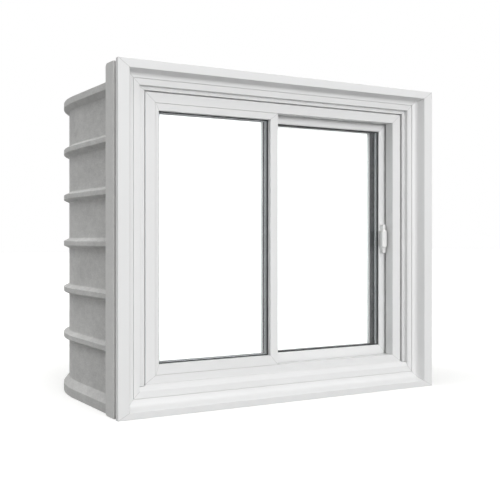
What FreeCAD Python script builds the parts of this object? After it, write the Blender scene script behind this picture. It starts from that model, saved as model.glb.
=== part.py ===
"""Horizontal sliding window in a stepped white frame, with a ribbed grey window well behind it.

Millimetres. +X runs right along the window, +Y runs back through the wall, +Z is up.
The origin is on the floor, in the middle of the whole unit's footprint.
"""
import FreeCAD, Part
import Sketcher
import os
import re

doc = FreeCAD.newDocument("SlidingWindow")
sheet = doc.addObject("Spreadsheet::Sheet", "Sizes")

# Driving sizes
SIZES = {
    "frame_width": 914,
    "frame_height": 800,
    # Where the edges of the frame lie in from its outer edge: end of the fascia, end of the casing, step
    # of the subframe, start of the main frame, end of its front lip
    "fascia_head": 20,
    "fascia_sill": 15.5,
    "fascia_jamb": 27.2,
    "casing_head": 36.2,
    "casing_sill": 39,
    "casing_jamb": 47.4,
    "step_head": 51.5,
    "step_sill": 55,
    "step_jamb": 63.5,
    "main_head": 64.4,
    "main_sill": 69.3,
    "main_jamb": 81.5,
    "lip_head": 87.6,
    "lip_sill": 87.6,
    "lip_jamb": 107.4,
    # Casing: flat fascia, sloped return and hollow cove; the shares are of the fascia and of the rest
    "groove_share": 0.21,
    "return_share": 0.3,
    "return_depth": 18,
    "cove_depth": 10,
    "cove_sag": 2.1,
    "casing_rim": 13,
    "casing_edge": 1.5,
    # Subframe: stepped lining between the casing and the window; the share is of the way from its step
    # to the main frame
    "joint_width": 1.5,
    "joint_depth": 3,
    "step_depth": 12,
    "bead_share": 0.78,
    "bead_depth": 5.5,
    "gap_depth_head": 13,
    "gap_depth_sill": 1.2,
    "gap_depth_jamb": 13,
    "subframe_depth": 44.5,
    # Main frame: front lip, pocket in which the sash runs, lip on the weather side
    "main_setback": 9.5,
    "lip_depth": 26,
    "pocket_head": 13.1,
    "pocket_sill": 13.1,
    "pocket_jamb": 16.5,
    "weather_lip": 6,
    "run_clearance": 5,
    "track_rise": 3,
    "track_width": 3,
    # Fixed panel
    "panel_joint": 0.4,
    "panel_setback": 0.6,
    "panel_top_rail": 16.6,
    "panel_bottom_rail": 23.7,
    "panel_left_stile": 8,
    "meeting_stile": 21.7,
    "meeting_offset": 17.2,
    "panel_bead": 12,
    "panel_back_lip": 2,
    "panel_air_gap": 10,
    # Sliding sash
    "sash_gap": 5,
    "sash_top_rail": 28.6,
    "sash_bottom_rail": 32,
    "sash_stile": 27.8,
    "sash_bead": 5,
    "sash_round": 4,
    "sash_back_lip": 3.7,
    "sash_air_gap": 24,
    "sash_overlap": 14.8,
    "runner_length": 40,
    "runner_width": 12,
    "runner_play": 0.3,
    "runner_end": 60,
    # Insulating glass units
    "lite": 3,
    "gasket": 1,
    "gasket_seat": 4,
    "gasket_sight": 2.8,
    "spacer_level": 4,
    "spacer_panel_side": 8,
    "spacer_sash_side": 11.5,
    "glass_bite": 6,
    "glass_play": 0.3,
    # Pull latch on the sash
    "latch_height": 77,
    "latch_bar": 8.5,
    "latch_bar_rise": 14,
    "latch_inset": 16.6,
    "latch_round": 2.5,
    "latch_edge": 1,
    "grip_height": 47,
    "grip_width": 15.5,
    "grip_rise": 6,
    "grip_round": 5,
    "grip_edge": 1.5,
    # Collar between the window and the well
    "collar_head": 3,
    "collar_sill": 0.5,
    "collar_jamb": 0.5,
    "collar_share": 0.62,
    "collar_depth": 46.5,
    "collar_round": 9,
    # Window well
    "well_inset": 23,
    "well_wall": 6,
    "well_height": 760,
    "well_straight": 239,
    "rib_rise": 14,
    "rib_pitch": 120,
    "rib_first": 152,
    "rib_face": 12.5,
    "rib_bevel": 9.75,
    "foot_face": 22,
    "foot_bevel": 18,
    "rim_face": 14,
    "rim_bevel": 14,
}
MIDDLE_RIBS = 5
BACK_SEGMENTS = 8
DIAGONAL = "0.70710678"
MITRE_MARGIN = "1.5"
SAME_PLACE = 0.001

for row, (alias, number) in enumerate(SIZES.items(), start=1):
    sheet.set("A%d" % row, alias)
    sheet.set("B%d" % row, str(number))
    sheet.setAlias("B%d" % row, alias)
doc.recompute()

# Places that several pieces share, as expressions of the driving sizes
LEFT = "(-frame_width / 2)"
RIGHT = "(frame_width / 2)"
BOTTOM = "(0)"
TOP = "(frame_height)"
WALL_DEPTH = "(return_depth + cove_depth + casing_edge + collar_depth)"
WELL_HALF = f"({RIGHT} - well_inset)"
FRONT = f"(-({WALL_DEPTH} + well_straight + {WELL_HALF} + rib_rise) / 2)"

SUBFRAME_FRONT = f"({FRONT} + return_depth + cove_depth)"
COLLAR_FRONT = f"({SUBFRAME_FRONT} + casing_edge)"
COLLAR_BACK = f"({FRONT} + {WALL_DEPTH})"
MAIN_FRONT = f"({SUBFRAME_FRONT} + main_setback)"
SILL_POCKET = "(lip_sill - pocket_sill)"

PANEL_LEFT = f"({LEFT} + lip_jamb + panel_joint)"
PANEL_RIGHT = "(-meeting_offset)"
PANEL_BOTTOM = f"({BOTTOM} + lip_sill + panel_joint)"
PANEL_TOP = f"({TOP} - lip_head - panel_joint)"
PANEL_FRONT = f"({MAIN_FRONT} + panel_setback)"
PANEL_GLASS = f"({PANEL_FRONT} + panel_bead + gasket)"
PANEL_SLOT_END = f"({PANEL_GLASS} + 2 * lite + panel_air_gap + glass_play)"
PANEL_BACK = f"({PANEL_SLOT_END} + panel_back_lip)"

SASH_LEFT = f"({PANEL_RIGHT} - sash_overlap)"
SASH_RIGHT = f"({RIGHT} - lip_jamb + pocket_jamb - run_clearance)"
SASH_BOTTOM = f"({BOTTOM} + {SILL_POCKET} + run_clearance)"
SASH_TOP = f"({TOP} - lip_head + pocket_head - run_clearance)"
SASH_FRONT = f"({PANEL_BACK} + sash_gap)"
SASH_GLASS = f"({SASH_FRONT} + sash_bead + gasket)"
SASH_SLOT_END = f"({SASH_GLASS} + 2 * lite + sash_air_gap + glass_play)"
SASH_BACK = f"({SASH_SLOT_END} + sash_back_lip)"
MAIN_BACK_LIP = f"({SASH_BACK} + run_clearance)"
SASH_MIDDLE = f"(({SASH_FRONT} + {SASH_BACK}) / 2)"
TRACK_NEAR = f"({SASH_MIDDLE} - track_width / 2)"
TRACK_FAR = f"({SASH_MIDDLE} + track_width / 2)"

WELL_TURN = f"({COLLAR_BACK} + well_straight)"

KINDS = {"head": "head", "sill": "sill", "left": "jamb", "right": "jamb"}
LEVEL = ("head", "sill")
UPRIGHT = ("left", "right")
FRAME_EDGES = ("fascia", "casing", "step", "main", "lip")
FRAME = (LEFT, RIGHT, BOTTOM, TOP)
PANEL = (PANEL_LEFT, PANEL_RIGHT, PANEL_BOTTOM, PANEL_TOP)
SASH = (SASH_LEFT, SASH_RIGHT, SASH_BOTTOM, SASH_TOP)


def bound(expression):
    """The expression with each size read from the sheet."""
    return re.sub(r"(?!sqrt)\b[a-z][a-z_]*", lambda name: "Sizes." + name.group(0), expression)


def amount(expression):
    """The expression's present value."""
    return float(sheet.evalExpression(expression))


def origin_plane(body, role):
    return next(plane for plane in body.Origin.OriginFeatures if plane.Role == role)


def draw_loop(sketch, corners):
    """Closed loop whose corners are pairs of expressions; a corner with a second pair starts an arc
    that passes through that second point."""
    points = [FreeCAD.Vector(amount(c[0]), amount(c[1]), 0) for c in corners]
    ends = []
    for index, corner in enumerate(corners):
        here = points[index]
        after = points[(index + 1) % len(points)]
        if len(corner) == 2:
            edge = sketch.addGeometry(Part.LineSegment(here, after), False)
            ends.append((edge, 1, 2))
            continue
        via = FreeCAD.Vector(amount(corner[2]), amount(corner[3]), 0)
        anticlockwise = (via - here).cross(after - via).z > 0
        arc = Part.Arc(here, via, after) if anticlockwise else Part.Arc(after, via, here)
        edge = sketch.addGeometry(arc, False)
        ends.append((edge, 1, 2) if anticlockwise else (edge, 2, 1))
        peak = sketch.addGeometry(Part.Point(via), True)
        sketch.addConstraint(Sketcher.Constraint("PointOnObject", peak, 1, edge))
        pin_point(sketch, peak, 1, corner[2], corner[3])
    for index, (edge, start, _) in enumerate(ends):
        before, _, finish = ends[index - 1]
        sketch.addConstraint(Sketcher.Constraint("Coincident", before, finish, edge, start))
        pin_point(sketch, edge, start, corners[index][0], corners[index][1])


def pin_point(sketch, edge, end, across, along):
    """Tie one point of the sketch to a pair of expressions."""
    for kind, expression in (("DistanceX", across), ("DistanceY", along)):
        number = sketch.addConstraint(Sketcher.Constraint(kind, edge, end, amount(expression)))
        sketch.setExpression("Constraints[%d]" % number, bound(expression))


def add_sketch(body, name, role, loops, height="(0)"):
    """Sketch on one of the body's origin planes, lifted along the plane's normal by height."""
    sketch = body.newObject("Sketcher::SketchObject", name)
    sketch.AttachmentSupport = [(origin_plane(body, role), "")]
    sketch.MapMode = "FlatFace"
    sketch.setExpression("AttachmentOffset.Base.z", bound(height))
    for loop in loops:
        draw_loop(sketch, loop)
    return sketch


def add_pad(body, name, sketch, length):
    pad = body.newObject("PartDesign::Pad", name)
    pad.Profile = sketch
    pad.setExpression("Length", bound(length))
    return pad


def new_body(label):
    body = doc.addObject("PartDesign::Body", "Body_" + label)
    body.Label = label
    return body


def sized(name, side):
    """The size that the head, the sill or a jamb has for this name."""
    return name + "_" + KINDS[side]


def shared(side, first, second, share):
    """Inset a share of the way from one edge of the frame to the next."""
    near, far = sized(first, side), sized(second, side)
    return f"({near} + ({far} - {near}) * {share})"


def placed(section, side, edges):
    """Section corners (inset, depth) turned into sketch corners for one side of a rectangle."""
    left, right, bottom, top = edges
    pairs = []
    for corner in section:
        moved = []
        for inset, depth in zip(corner[0::2], corner[1::2]):
            if side == "head":
                moved += [depth, f"{top} - {inset}"]
            elif side == "sill":
                moved += [depth, f"{bottom} + {inset}"]
            elif side == "left":
                moved += [f"{left} + {inset}", depth]
            else:
                moved += [f"{right} - {inset}", depth]
        pairs.append(tuple(moved))
    return pairs


def bar(label, side, section, edges):
    """Straight member with a constant section along one side of a rectangle."""
    left, right, bottom, top = edges
    body = new_body(label)
    start, finish = (left, right) if side in LEVEL else (bottom, top)
    plane = "YZ_Plane" if side in LEVEL else "XY_Plane"
    sketch = add_sketch(body, label + "_section", plane, [placed(section, side, edges)], start)
    add_pad(body, label + "_pad", sketch, f"{finish} - {start}")
    return body


def mitre_line(edges, upright, level, bends):
    """Points from a rectangle's corner inwards along the mitre of an upright and a level side. Each bend
    gives an inset for every side, and the last stretch runs on past the members."""
    left, right, bottom, top = edges
    beyond = {side: f"{MITRE_MARGIN} * {inset}" for side, inset in bends[-1].items()}
    line = []
    for bend in bends + [beyond]:
        across = f"{left} + {bend['left']}" if upright == "left" else f"{right} - {bend['right']}"
        up = f"{bottom} + {bend['sill']}" if level == "sill" else f"{top} - {bend['head']}"
        line.append((across, up))
    return line


def mitre(body, side, edges, bends):
    """Cut both ends of a member along its mitre lines."""
    left, right, bottom, top = edges
    loops = []
    for end in UPRIGHT if side in LEVEL else LEVEL:
        upright, level = (end, side) if side in LEVEL else (side, end)
        corner = (left if upright == "left" else right, bottom if level == "sill" else top)
        line = mitre_line(edges, upright, level, bends)
        outside = (corner[0], line[-1][1]) if side in LEVEL else (line[-1][0], corner[1])
        loops.append([corner] + line + [outside])
    doc.recompute()
    whole = body.Shape.Volume
    sketch = add_sketch(body, body.Label + "_mitre", "XZ_Plane", loops, f"(-{FRONT})")
    pocket = body.newObject("PartDesign::Pocket", body.Label + "_ends")
    pocket.Profile = sketch
    pocket.Type = "ThroughAll"
    doc.recompute()
    if body.Shape.Volume >= whole:
        raise RuntimeError("the mitre cut nothing from " + body.Label)


def mitred_frame(names, sections, edges, bends):
    """Four members, each with the section of its side, mitred where they meet."""
    for side, label in names.items():
        body = bar(label, side, sections[side], edges)
        mitre(body, side, edges, bends)
        pieces.append(body)


def frame_ring(prefix, section_of, bends):
    """Head, sill and jambs of one ring of the frame, mitred along a line with the given bends."""
    names = {
        "head": prefix + "_head",
        "sill": prefix + "_sill",
        "left": prefix + "_jamb_left",
        "right": prefix + "_jamb_right",
    }
    sections = {side: section_of(side) for side in KINDS}
    mitred_frame(names, sections, FRAME, bends)


def box(name, low, high):
    """Block between two corners given as expressions."""
    block = doc.addObject("Part::Box", name)
    for axis, size, near, far in zip("xyz", ("Length", "Width", "Height"), low, high):
        block.setExpression(size, bound(f"{far} - {near}"))
        block.setExpression("Placement.Base." + axis, bound(near))
    return block


def plate(label, edges, front, thickness):
    """Flat upright sheet that fills a rectangle."""
    left, right, bottom, top = edges
    sheet_box = box("Box_" + label, (left, front, bottom), (right, f"{front} + {thickness}", top))
    sheet_box.Label = label
    pieces.append(sheet_box)


def ring(label, outer, inner, front, depth):
    """Flat rectangular ring between an outer and an inner rectangle."""
    back = f"{front} + {depth}"
    whole = box("Outer_" + label, (outer[0], front, outer[2]), (outer[1], back, outer[3]))
    low = (inner[0], f"{front} - {depth}", inner[2])
    high = (inner[1], f"{back} + {depth}", inner[3])
    cut = hollowed("Ring_" + label, whole, box("Inner_" + label, low, high))
    cut.Label = label
    pieces.append(cut)


def hollowed(name, whole, hole):
    cut = doc.addObject("Part::Cut", name)
    cut.Base = whole
    cut.Tool = hole
    return cut


def grown(edges, margin):
    """Rectangle moved outwards on all sides."""
    left, right, bottom, top = edges
    return (
        f"({left} - {margin})",
        f"({right} + {margin})",
        f"({bottom} - {margin})",
        f"({top} + {margin})",
    )


def inside(edges, widths):
    """Rectangle left inside members of the given widths."""
    left, right, bottom, top = edges
    return (
        f"({left} + {widths['left']})",
        f"({right} - {widths['right']})",
        f"({bottom} + {widths['sill']})",
        f"({top} - {widths['head']})",
    )


def glass_unit(name, sight, glass_front, air_gap, spacer_side):
    """Inner and outer sheet with a spacer between them and a gasket on the room side. More of the spacer
    shows by the stiles than by the rails."""
    edge = grown(sight, "glass_bite")
    shown = {"head": "spacer_level", "sill": "spacer_level", "left": spacer_side, "right": spacer_side}
    spacer_front = f"({glass_front} + lite)"
    plate(name + "_inner_glass", edge, glass_front, "lite")
    ring(name + "_spacer", edge, inside(sight, shown), spacer_front, air_gap)
    plate(name + "_outer_glass", edge, f"({spacer_front} + {air_gap})", "lite")
    gasket_front = f"({glass_front} - gasket)"
    lip = grown(sight, "(-gasket_sight)")
    ring(name + "_gasket", grown(sight, "gasket_seat"), lip, gasket_front, "gasket")


def channel(width, front, bead, slot_end, back):
    """Section of a rail that holds the glass in a slot behind its bead."""
    slot = f"({width} - glass_bite - glass_play)"
    slot_front = f"({front} + {bead})"
    return [
        ("(0)", front),
        (width, front),
        (width, slot_front),
        (slot, slot_front),
        (slot, slot_end),
        (width, slot_end),
        (width, back),
        ("(0)", back),
    ]


def casing(side):
    """Moulding round the front: fascia, sloped return, hollow cove, and a shadow groove round its edge."""
    fascia = sized("fascia", side)
    casing_in = sized("casing", side)
    groove = f"({fascia} * groove_share)"
    cove_start = shared(side, "fascia", "casing", "return_share")
    return [
        ("(0)", FRONT),
        (fascia, FRONT),
        (
            cove_start,
            f"({FRONT} + return_depth)",
            f"(({cove_start} + {casing_in}) / 2 - cove_sag)",
            f"({FRONT} + return_depth + cove_depth / 2 + cove_sag)",
        ),
        (casing_in, SUBFRAME_FRONT),
        (casing_in, COLLAR_FRONT),
        (groove, COLLAR_FRONT),
        (groove, f"({FRONT} + casing_rim)"),
        ("(0)", f"({FRONT} + casing_rim)"),
    ]


def subframe(side):
    """Stepped lining: joint line, face, step, sloped bead and the shadow gap round the window's own frame.
    The sill has no step, so that water runs off it."""
    casing_in = sized("casing", side)
    step = sized("step", side)
    main_out = sized("main", side)
    collar_in = shared(side, "fascia", "casing", "collar_share")
    face_start = f"({casing_in} + joint_width)"
    joint_end = f"({SUBFRAME_FRONT} + joint_depth)"
    bead_in = shared(side, "step", "main", "bead_share")
    bead_front = f"({SUBFRAME_FRONT} + bead_depth)"
    gap_end = f"({bead_front} + {sized('gap_depth', side)})"
    step_foot = (step, f"({SUBFRAME_FRONT} + step_depth)")
    back = f"({SUBFRAME_FRONT} + subframe_depth)"
    return [
        (casing_in, joint_end),
        (face_start, joint_end),
        (face_start, SUBFRAME_FRONT),
        (step, SUBFRAME_FRONT),
        *([] if side == "sill" else [step_foot]),
        (bead_in, bead_front),
        (bead_in, gap_end),
        (main_out, gap_end),
        (main_out, back),
        (collar_in, back),
        (collar_in, COLLAR_FRONT),
        (casing_in, COLLAR_FRONT),
    ]


def main_frame(side):
    """Window frame with a front lip, the pocket in which the sash runs and a lip on the weather side.
    A track stands up from the sill's pocket to guide the sash."""
    main_out = sized("main", side)
    lip = sized("lip", side)
    pocket = f"({lip} - {sized('pocket', side)})"
    lip_back = f"({MAIN_FRONT} + lip_depth)"
    back = f"({MAIN_BACK_LIP} + weather_lip)"
    track_top = f"({pocket} + track_rise)"
    track = [(pocket, TRACK_NEAR), (track_top, TRACK_NEAR), (track_top, TRACK_FAR), (pocket, TRACK_FAR)]
    return [
        (main_out, MAIN_FRONT),
        (lip, MAIN_FRONT),
        (lip, lip_back),
        (pocket, lip_back),
        *(track if side == "sill" else []),
        (pocket, MAIN_BACK_LIP),
        (lip, MAIN_BACK_LIP),
        (lip, back),
        (main_out, back),
    ]


def fixed_panel():
    """Panel that stays: two rails and two stiles of different widths, mitred, and its glass."""
    widths = {
        "head": "panel_top_rail",
        "sill": "panel_bottom_rail",
        "left": "panel_left_stile",
        "right": "meeting_stile",
    }
    names = {
        "head": "fixed_top_rail",
        "sill": "fixed_bottom_rail",
        "left": "fixed_left_stile",
        "right": "meeting_stile",
    }
    sections = {
        side: channel(width, PANEL_FRONT, "panel_bead", PANEL_SLOT_END, PANEL_BACK)
        for side, width in widths.items()
    }
    mitred_frame(names, sections, PANEL, [widths])
    glass_unit("fixed", inside(PANEL, widths), PANEL_GLASS, "panel_air_gap", "spacer_panel_side")


def sash_section(width):
    """Section of a sash rail: the channel for its glass, with a rounded edge by the pane."""
    section = channel(width, SASH_FRONT, "sash_bead", SASH_SLOT_END, SASH_BACK)
    round_start = (
        f"({width} - sash_round)",
        SASH_FRONT,
        f"({width} - sash_round + sash_round * {DIAGONAL})",
        f"({SASH_FRONT} + sash_round - sash_round * {DIAGONAL})",
    )
    round_end = (width, f"({SASH_FRONT} + sash_round)")
    return section[:1] + [round_start, round_end] + section[2:]


def sliding_sash():
    """Sash that slides behind the fixed panel: mitred rails and stiles, and its glass."""
    widths = {
        "head": "sash_top_rail",
        "sill": "sash_bottom_rail",
        "left": "sash_stile",
        "right": "sash_stile",
    }
    names = {
        "head": "sash_top_rail",
        "sill": "sash_bottom_rail",
        "left": "sash_lock_stile",
        "right": "sash_pull_stile",
    }
    sections = {side: sash_section(width) for side, width in widths.items()}
    mitred_frame(names, sections, SASH, [widths])
    glass_unit("sash", inside(SASH, widths), SASH_GLASS, "sash_air_gap", "spacer_sash_side")


def runners():
    """Two glides under the sash that straddle the track on the sill."""
    low = f"({BOTTOM} + {SILL_POCKET} + runner_play)"
    near = f"({SASH_MIDDLE} - runner_width / 2)"
    far = f"({SASH_MIDDLE} + runner_width / 2)"
    groove_near = f"({TRACK_NEAR} - runner_play)"
    groove_far = f"({TRACK_FAR} + runner_play)"
    groove_top = f"({low} + track_rise)"
    starts = (f"({SASH_LEFT} + runner_end)", f"({SASH_RIGHT} - runner_end - runner_length)")
    glides = []
    for number, start in enumerate(starts, start=1):
        end = f"({start} + runner_length)"
        block = box("Runner_%d" % number, (start, near, low), (end, far, SASH_BOTTOM))
        groove_start = f"({start} - runner_width)"
        groove_end = f"({end} + runner_width)"
        groove_floor = f"({low} - runner_width)"
        groove = box(
            "Groove_%d" % number,
            (groove_start, groove_near, groove_floor),
            (groove_end, groove_far, groove_top),
        )
        glides.append(hollowed("Glide_%d" % number, block, groove))
    pair = doc.addObject("Part::Compound", "Pair_runners")
    pair.Links = glides
    pair.Label = "sash_runners"
    pieces.append(pair)


def soften(body, kind, name, base, chosen, size):
    """Fillet or chamfer those edges of the base whose bounding box is chosen."""
    doc.recompute()
    edges = ["Edge%d" % (k + 1) for k, line in enumerate(base.Shape.Edges) if chosen(line.BoundBox)]
    feature = body.newObject("PartDesign::" + kind, name)
    feature.Base = (base, edges)
    feature.setExpression("Radius" if kind == "Fillet" else "Size", bound(size))
    return feature


def rounded_bar(label, left, right, height, depth, corner, edge):
    """Upright bar with rounded corners and a chamfered front, standing out to the room. Its depth is
    the plane it stands on and its rise."""
    plane, rise = depth
    middle = f"(({SASH_BOTTOM} + {SASH_TOP}) / 2)"
    low = f"({middle} - {height} / 2)"
    high = f"({middle} + {height} / 2)"
    body = new_body(label)
    loop = [(left, low), (right, low), (right, high), (left, high)]
    sketch = add_sketch(body, label + "_outline", "XZ_Plane", [loop], f"(-{plane})")
    pad = add_pad(body, label + "_pad", sketch, rise)
    front = amount(f"{plane} - {rise}")
    corners = soften(body, "Fillet", label + "_corners", pad, lambda b: b.YLength > SAME_PLACE, corner)
    soften(body, "Chamfer", label + "_front", corners, lambda b: abs(b.YMax - front) < SAME_PLACE, edge)
    pieces.append(body)


def latch():
    """Pull latch: a narrow bar on the stile and a wider grip across its middle."""
    right = f"({SASH_RIGHT} - latch_inset)"
    bar_left = f"({right} - latch_bar)"
    bar_front = f"({SASH_FRONT} - latch_bar_rise)"
    grip_left = f"({right} - grip_width)"
    bar_depth = (SASH_FRONT, "latch_bar_rise")
    grip_depth = (bar_front, "grip_rise")
    rounded_bar("latch_bar", bar_left, right, "latch_height", bar_depth, "latch_round", "latch_edge")
    rounded_bar("latch_grip", grip_left, right, "grip_height", grip_depth, "grip_round", "grip_edge")


def collar():
    """Grey collar behind the casing, which carries the well: two side plates, and a head and a sill
    between them. Its top and bottom edge are rounded at the back."""
    low = f"({BOTTOM} + collar_sill)"
    high = f"({TOP} - collar_head)"
    edge = {side: shared(side, "fascia", "casing", "collar_share") for side in KINDS}
    inner_left = f"({LEFT} + {edge['left']})"
    inner_right = f"({RIGHT} - {edge['right']})"
    sill_top = f"({BOTTOM} + {edge['sill']})"
    head_bottom = f"({TOP} - {edge['head']})"
    turn = f"({COLLAR_BACK} - collar_round)"
    bulge = f"({turn} + collar_round * {DIAGONAL})"
    trim = f"(collar_round - collar_round * {DIAGONAL})"
    round_low = [(turn, low, bulge, f"({low} + {trim})"), (COLLAR_BACK, f"({low} + collar_round)")]
    round_high = [(COLLAR_BACK, f"({high} - collar_round)", bulge, f"({high} - {trim})"), (turn, high)]
    square_low = [(COLLAR_BACK, head_bottom)]
    square_high = [(COLLAR_BACK, sill_top)]
    blocks = (
        ("collar_head", inner_left, inner_right, head_bottom, square_low + round_high, high),
        ("collar_sill", inner_left, inner_right, low, round_low + square_high, sill_top),
        ("collar_jamb_left", f"({LEFT} + collar_jamb)", inner_left, low, round_low + round_high, high),
        ("collar_jamb_right", inner_right, f"({RIGHT} - collar_jamb)", low, round_low + round_high, high),
    )
    for label, left, right, bottom, back, top in blocks:
        body = new_body(label)
        loop = [(COLLAR_FRONT, bottom)] + back + [(COLLAR_FRONT, top)]
        sketch = add_sketch(body, label + "_section", "YZ_Plane", [loop], left)
        add_pad(body, label + "_pad", sketch, f"{right} - {left}")
        pieces.append(body)


def ribbed_line(skin, narrower):
    """Corners up one face of the well's wall: foot, middle ribs and rim. narrower gives how much each
    kind of crest loses on a side."""
    crest = f"({skin} + rib_rise)"
    foot_top = f"(foot_face - {narrower['foot']})"
    half = f"(rib_face / 2 - {narrower['rib']})"
    rim_start = f"(well_height - rim_face + {narrower['rim']})"
    corners = [(crest, "(0)"), (crest, foot_top), (skin, f"({foot_top} + foot_bevel)")]
    for number in range(MIDDLE_RIBS):
        middle = f"(rib_first + {number} * rib_pitch)"
        corners += [
            (skin, f"({middle} - {half} - rib_bevel)"),
            (crest, f"({middle} - {half})"),
            (crest, f"({middle} + {half})"),
            (skin, f"({middle} + {half} + rib_bevel)"),
        ]
    corners += [(skin, f"({rim_start} - rim_bevel)"), (crest, rim_start), (crest, "(well_height)")]
    return corners


def even_wall(bevel):
    """How much a crest narrows on each side when its wall keeps its thickness round the bevel."""
    slope = f"sqrt(rib_rise * rib_rise + {bevel} * {bevel})"
    return f"(well_wall * ({slope} - {bevel}) / rib_rise)"


def well_wall(skin):
    """Section of the moulded wall between its ribbed outer face and the inner face that follows it."""
    kinds = ("foot", "rib", "rim")
    outer = ribbed_line(skin, {kind: "(0)" for kind in kinds})
    inner = ribbed_line(f"({skin} - well_wall)", {kind: even_wall(kind + "_bevel") for kind in kinds})
    return outer + inner[::-1]


def well():
    """Moulded well: a straight wall on each side, and a half round back in equal segments."""
    for label, sign in (("well_left_wall", "-"), ("well_right_wall", "")):
        corners = [(f"({sign}1 * {across})", up) for across, up in well_wall(WELL_HALF)]
        body = new_body(label)
        sketch = add_sketch(body, label + "_section", "XZ_Plane", [corners], f"(-{WELL_TURN})")
        add_pad(body, label + "_pad", sketch, "well_straight")
        pieces.append(body)
    turn = 180 / BACK_SEGMENTS
    for number in range(BACK_SEGMENTS):
        label = "well_back_%d" % (number + 1)
        body = new_body(label)
        sketch = add_sketch(body, label + "_section", "XZ_Plane", [well_wall(WELL_HALF)])
        segment = body.newObject("PartDesign::Revolution", label + "_turn")
        segment.Profile = sketch
        segment.ReferenceAxis = (sketch, ["V_Axis"])
        segment.Angle = turn
        doc.recompute()
        segment.Reversed = body.Shape.CenterOfMass.y < 0
        body.Placement.Rotation = FreeCAD.Rotation(FreeCAD.Vector(0, 0, 1), number * turn)
        body.setExpression("Placement.Base.y", bound(WELL_TURN))
        pieces.append(body)


frame_bends = [{side: sized(edge, side) for side in KINDS} for edge in FRAME_EDGES]
pieces = []
frame_ring("casing", casing, frame_bends)
frame_ring("subframe", subframe, frame_bends)
frame_ring("main_frame", main_frame, frame_bends)
fixed_panel()
sliding_sash()
runners()
latch()
collar()
well()
doc.recompute()

for thing in doc.Objects:
    if "Invalid" in thing.State or "Error" in thing.State:
        raise RuntimeError("%s did not build" % thing.Label)
for piece in pieces:
    if piece.Shape.isNull() or not piece.Shape.isValid():
        raise RuntimeError("%s has no valid shape" % piece.Label)

os.makedirs("parts", exist_ok=True)
for piece in pieces:
    piece.Shape.exportStep("parts/%s.step" % piece.Label)
print("wrote %d sub-parts" % len(pieces))
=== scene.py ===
# %% [markdown]
# # A sliding window and its well
#
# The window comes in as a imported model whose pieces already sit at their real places. This lesson gives
# every piece its finish. Each new piece is a surface worked out with numpy: a section carried along a
# path, or a stack of outlines. Lengths in sections are millimetres, and everything else is metres.

# %% Load the frame
import math

import bpy
import numpy as np
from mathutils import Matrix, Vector


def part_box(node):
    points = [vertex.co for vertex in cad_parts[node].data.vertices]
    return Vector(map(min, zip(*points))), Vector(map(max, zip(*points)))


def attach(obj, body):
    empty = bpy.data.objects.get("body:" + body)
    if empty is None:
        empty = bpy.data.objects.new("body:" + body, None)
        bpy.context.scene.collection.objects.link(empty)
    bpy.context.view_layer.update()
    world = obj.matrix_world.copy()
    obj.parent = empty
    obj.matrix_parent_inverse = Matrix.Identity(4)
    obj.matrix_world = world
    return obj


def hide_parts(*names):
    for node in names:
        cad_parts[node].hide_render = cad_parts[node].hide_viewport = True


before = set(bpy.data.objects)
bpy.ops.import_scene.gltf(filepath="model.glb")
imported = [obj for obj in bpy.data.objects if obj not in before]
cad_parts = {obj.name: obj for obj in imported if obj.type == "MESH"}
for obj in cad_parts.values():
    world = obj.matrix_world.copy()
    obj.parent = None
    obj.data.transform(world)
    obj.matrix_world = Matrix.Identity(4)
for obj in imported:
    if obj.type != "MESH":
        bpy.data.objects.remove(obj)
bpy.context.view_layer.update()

MM = 0.001

# %% [markdown]
# ## Where the pieces are
#
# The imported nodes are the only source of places. The edges could be typed in again as numbers, but a node's
# box already gives them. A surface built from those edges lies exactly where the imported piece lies, and
# follows it when a size changes.

# %% Edges of the frames
def edges(left, right, bottom, top):
    """Outer rectangle (left, right, bottom, top) of a frame made of four nodes."""
    return (
        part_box(left)[0].x,
        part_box(right)[1].x,
        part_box(bottom)[0].z,
        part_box(top)[1].z,
    )


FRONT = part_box("casing_head")[0].y
WINDOW = edges("casing_jamb_left", "casing_jamb_right", "casing_sill", "casing_head")
PANEL = edges("fixed_left_stile", "meeting_stile", "fixed_bottom_rail", "fixed_top_rail")
SASH = edges("sash_lock_stile", "sash_pull_stile", "sash_bottom_rail", "sash_top_rail")
print("window %.0f x %.0f mm" % ((WINDOW[1] - WINDOW[0]) / MM, (WINDOW[3] - WINDOW[2]) / MM))

# %% [markdown]
# A point of a section is given by how far it lies in from the window's edge, and how far behind its front
# plane. Both could be read off a drawing of the section. Here the four nodes of a ring give them, on each
# side by itself, because head, sill and jambs differ.

# %% Insets and depths
def depth_of(node):
    """Near and far plane of a node, measured from the window's front plane, in millimetres."""
    low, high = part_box(node)
    return (low.y - FRONT) / MM, (high.y - FRONT) / MM


def ring_names(prefix):
    """Nodes of one ring of the frame, by side."""
    return {
        "head": prefix + "_head",
        "sill": prefix + "_sill",
        "left": prefix + "_jamb_left",
        "right": prefix + "_jamb_right",
    }


def ring_insets(prefix):
    """How far a ring's outer and inner edge lie in from the window's edge on each side, in millimetres."""
    left, right, bottom, top = WINDOW
    low, high = {}, {}
    for side, node in ring_names(prefix).items():
        low[side], high[side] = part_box(node)
    outer = {
        "head": top - high["head"].z, "sill": low["sill"].z - bottom,
        "left": low["left"].x - left, "right": right - high["right"].x}
    inner = {
        "head": top - low["head"].z, "sill": high["sill"].z - bottom,
        "left": high["left"].x - left, "right": right - low["right"].x}
    return [{side: value / MM for side, value in insets.items()} for insets in (outer, inner)]


_, CASING_IN = ring_insets("casing")
_, COLLAR_IN = ring_insets("collar")
MAIN_OUT, LIP_IN = ring_insets("main_frame")
print("front lip ends", {side: round(value, 1) for side, value in LIP_IN.items()}, "mm in")

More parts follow.
